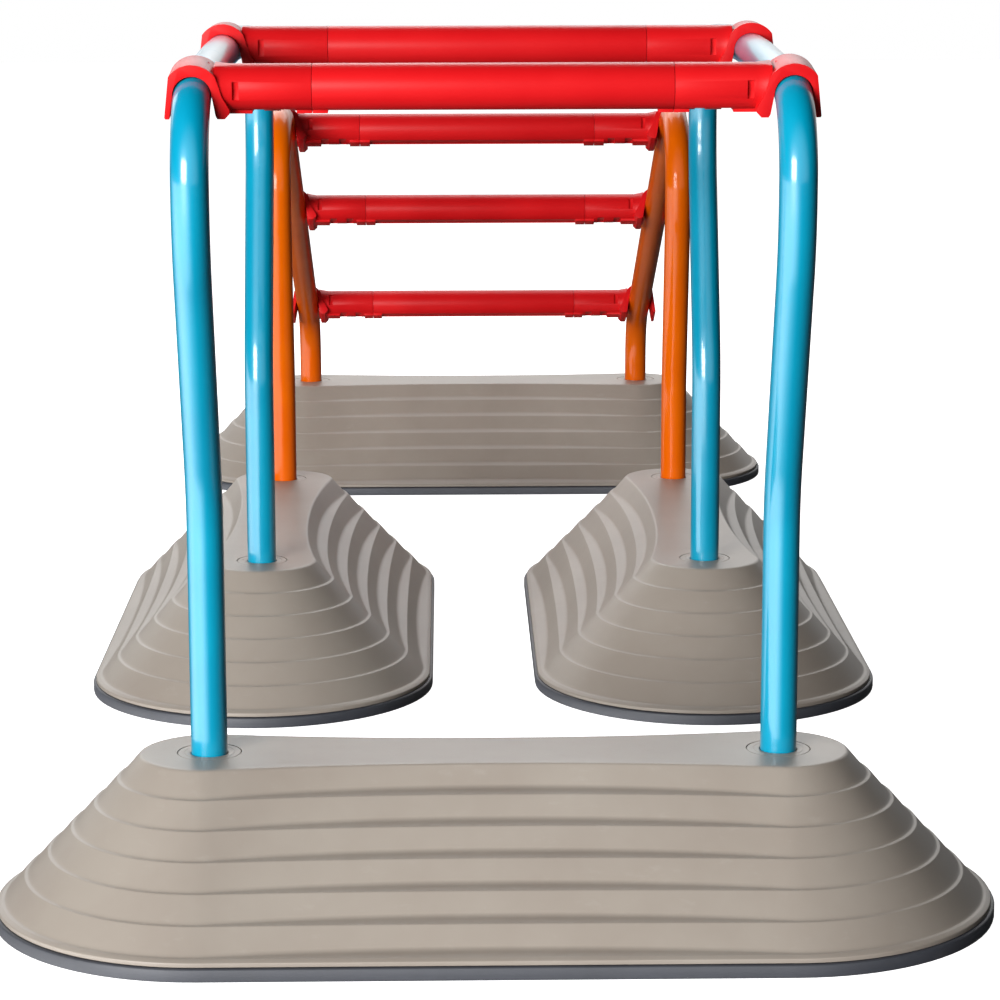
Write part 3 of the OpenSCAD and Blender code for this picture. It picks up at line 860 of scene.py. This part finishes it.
endMesh, middleMesh = endPieceMesh(), gripMesh()
toEnd = Matrix.Translation((-halfX, 0, 0))
mirror = Matrix.Diagonal((-1, 1, 1, 1))
for number in range(1, 6):
    body, place = "crossbar_%d" % number, barPlace(number)
    name = "crossbar%d" % number
    showPiece(name + "Grip", moved(middleMesh, place), body, "red_plastic", body + "_grip")
    showPiece(name + "LeftHook", moved(endMesh, place @ toEnd), body, "red_plastic", body + "_left_hook")
    right = moved(endMesh, place @ mirror @ toEnd)
    showPiece(name + "RightHook", right, body, "red_plastic", body + "_right_hook")
print("crossbars made")

aim = (0, -0.2, 0.3)
studio = {
    "darkSide": 0.0,             # world light from the right
    "brightSide": 0.03,          # and from the left
    "sideEdge": (0.35, -0.75),   # edges are parts of a ray's direction
    "backGlow": 2.75,            # white wall behind, seen in reflections only
    "backEdge": (0.55, 0.95),
    "backLow": 0.30,             # its share at the horizon
    "backRise": (0.10, 0.34),
    "frontGlow": 1.6,            # and the pale room in front
    "frontEdge": (-0.35, -0.9),
    "card": 5.6,                 # white card at the left and in front, seen only in reflections near the floor
    "cardRight": (0.30, -0.55),
    "cardBack": (-0.75, 0.20),
    "cardLow": (0.85, 0.60),
    "floorHalf": 12.0,
    "floorGap": 0.3 * mm,        # below the object
    "floorTone": 0.08,           # floor's brightness in bounced light
    "floorSeen": 0.86,           # and as the camera sees it
    "floorGlow": 1.1,
    "floorRoughness": 0.9,
    "floorShine": 0.1,
    "key": {"place": (-2.85, -5.67, 1.58), "size": (3.0, 2.2), "power": 540},
    "back": {"place": (0, 2.49, 2.99), "size": (3.0, 1.6), "power": 62},
    "left": {"place": (-2.10, 2.30, 1.82), "size": (2.4, 1.4), "power": 16},
}


def softBox(name, light):
    data = bpy.data.lights.new(name, "AREA")
    data.shape = "RECTANGLE"
    data.size, data.size_y = light["size"]
    data.energy = light["power"]
    obj = linkedObject(name, data)
    away = Vector(light["place"]) - Vector(aim)
    obj.matrix_world = Matrix.Translation(light["place"]) @ away.to_track_quat("Z", "Y").to_matrix().to_4x4()


def smoothRange(tree, value, start, end, low, high):
    node = tree.nodes.new("ShaderNodeMapRange")
    node.interpolation_type = "SMOOTHSTEP"
    for i, number in enumerate((start, end, low, high)):
        node.inputs[i + 1].default_value = number
    tree.links.new(value, node.inputs["Value"])
    return node.outputs["Result"]


def combine(tree, operation, a, b):
    node = tree.nodes.new("ShaderNodeMath")
    node.operation = operation
    for i, part in enumerate((a, b)):
        if isinstance(part, float):
            node.inputs[i].default_value = part
        else:
            tree.links.new(part, node.inputs[i])
    return node.outputs[0]


# the ray's kinds, and its direction as three values
def rayParts(tree, coordinates, output):
    split = tree.nodes.new("ShaderNodeSeparateXYZ")
    tree.links.new(tree.nodes.new(coordinates).outputs[output], split.inputs[0])
    return tree.nodes.new("ShaderNodeLightPath").outputs, split.outputs


# white walls in reflections, a little light from the left, and plain white behind the object
def studioWorld():
    world = bpy.data.worlds.new("studioWorld")
    world.use_nodes = True
    bpy.context.scene.world = world
    tree = world.node_tree
    back = tree.nodes["Background"]
    back.inputs["Color"].default_value = (1, 1, 1, 1)
    rays, way = rayParts(tree, "ShaderNodeTexCoord", "Generated")
    side = smoothRange(tree, way["X"], *studio["sideEdge"], studio["darkSide"], studio["brightSide"])
    wall = smoothRange(tree, way["Y"], *studio["backEdge"], 0, studio["backGlow"])
    wall = combine(tree, "MULTIPLY", wall, smoothRange(tree, way["Z"], *studio["backRise"], studio["backLow"], 1))
    room = smoothRange(tree, way["Y"], *studio["frontEdge"], 0, studio["frontGlow"])
    mirrored = combine(tree, "MULTIPLY", combine(tree, "ADD", wall, room), rays["Is Glossy Ray"])
    light = combine(tree, "ADD", side, mirrored)
    seen = combine(tree, "MAXIMUM", rays["Is Camera Ray"], rays["Is Transmission Ray"])
    tree.links.new(combine(tree, "MAXIMUM", light, seen), back.inputs["Strength"])


def floorFinish():
    material = bpy.data.materials.new("paleFloor")
    material.use_nodes = True
    tree = material.node_tree
    surface = tree.nodes["Principled BSDF"]
    surface.inputs["Roughness"].default_value = studio["floorRoughness"]
    surface.inputs["Specular IOR Level"].default_value = studio["floorShine"]
    surface.inputs["Emission Color"].default_value = (1, 1, 1, 1)
    rays, way = rayParts(tree, "ShaderNodeNewGeometry", "Incoming")
    seen = rays["Is Camera Ray"]
    shade = smoothRange(tree, seen, 0, 1, studio["floorTone"], studio["floorSeen"])
    tree.links.new(shade, surface.inputs["Base Color"])
    glow = combine(tree, "MULTIPLY", rays["Is Glossy Ray"], studio["card"])
    for axis, edge, sign in (("X", "cardRight", -1), ("Y", "cardBack", 1), ("Z", "cardLow", 1)):
        start, end = (sign * v for v in studio[edge])
        glow = combine(tree, "MULTIPLY", glow, smoothRange(tree, way[axis], start, end, 0, 1))
    glow = combine(tree, "ADD", glow, combine(tree, "MULTIPLY", seen, studio["floorGlow"]))
    tree.links.new(glow, surface.inputs["Emission Strength"])
    return material


def paleFloor():
    half, z = studio["floorHalf"], cadBox[0][2] - studio["floorGap"]
    mesh = bpy.data.meshes.new("floor")
    mesh.from_pydata([(-half, -half, z), (half, -half, z), (half, half, z), (-half, half, z)], [], [(0, 1, 2, 3)])
    mesh.materials.append(floorFinish())
    linkedObject("floor", mesh)


for name in ("key", "back", "left"):
    softBox(name + "Light", studio[name])
studioWorld()
paleFloor()
bpy.context.scene.view_settings.view_transform = "Standard"
print("studio made")
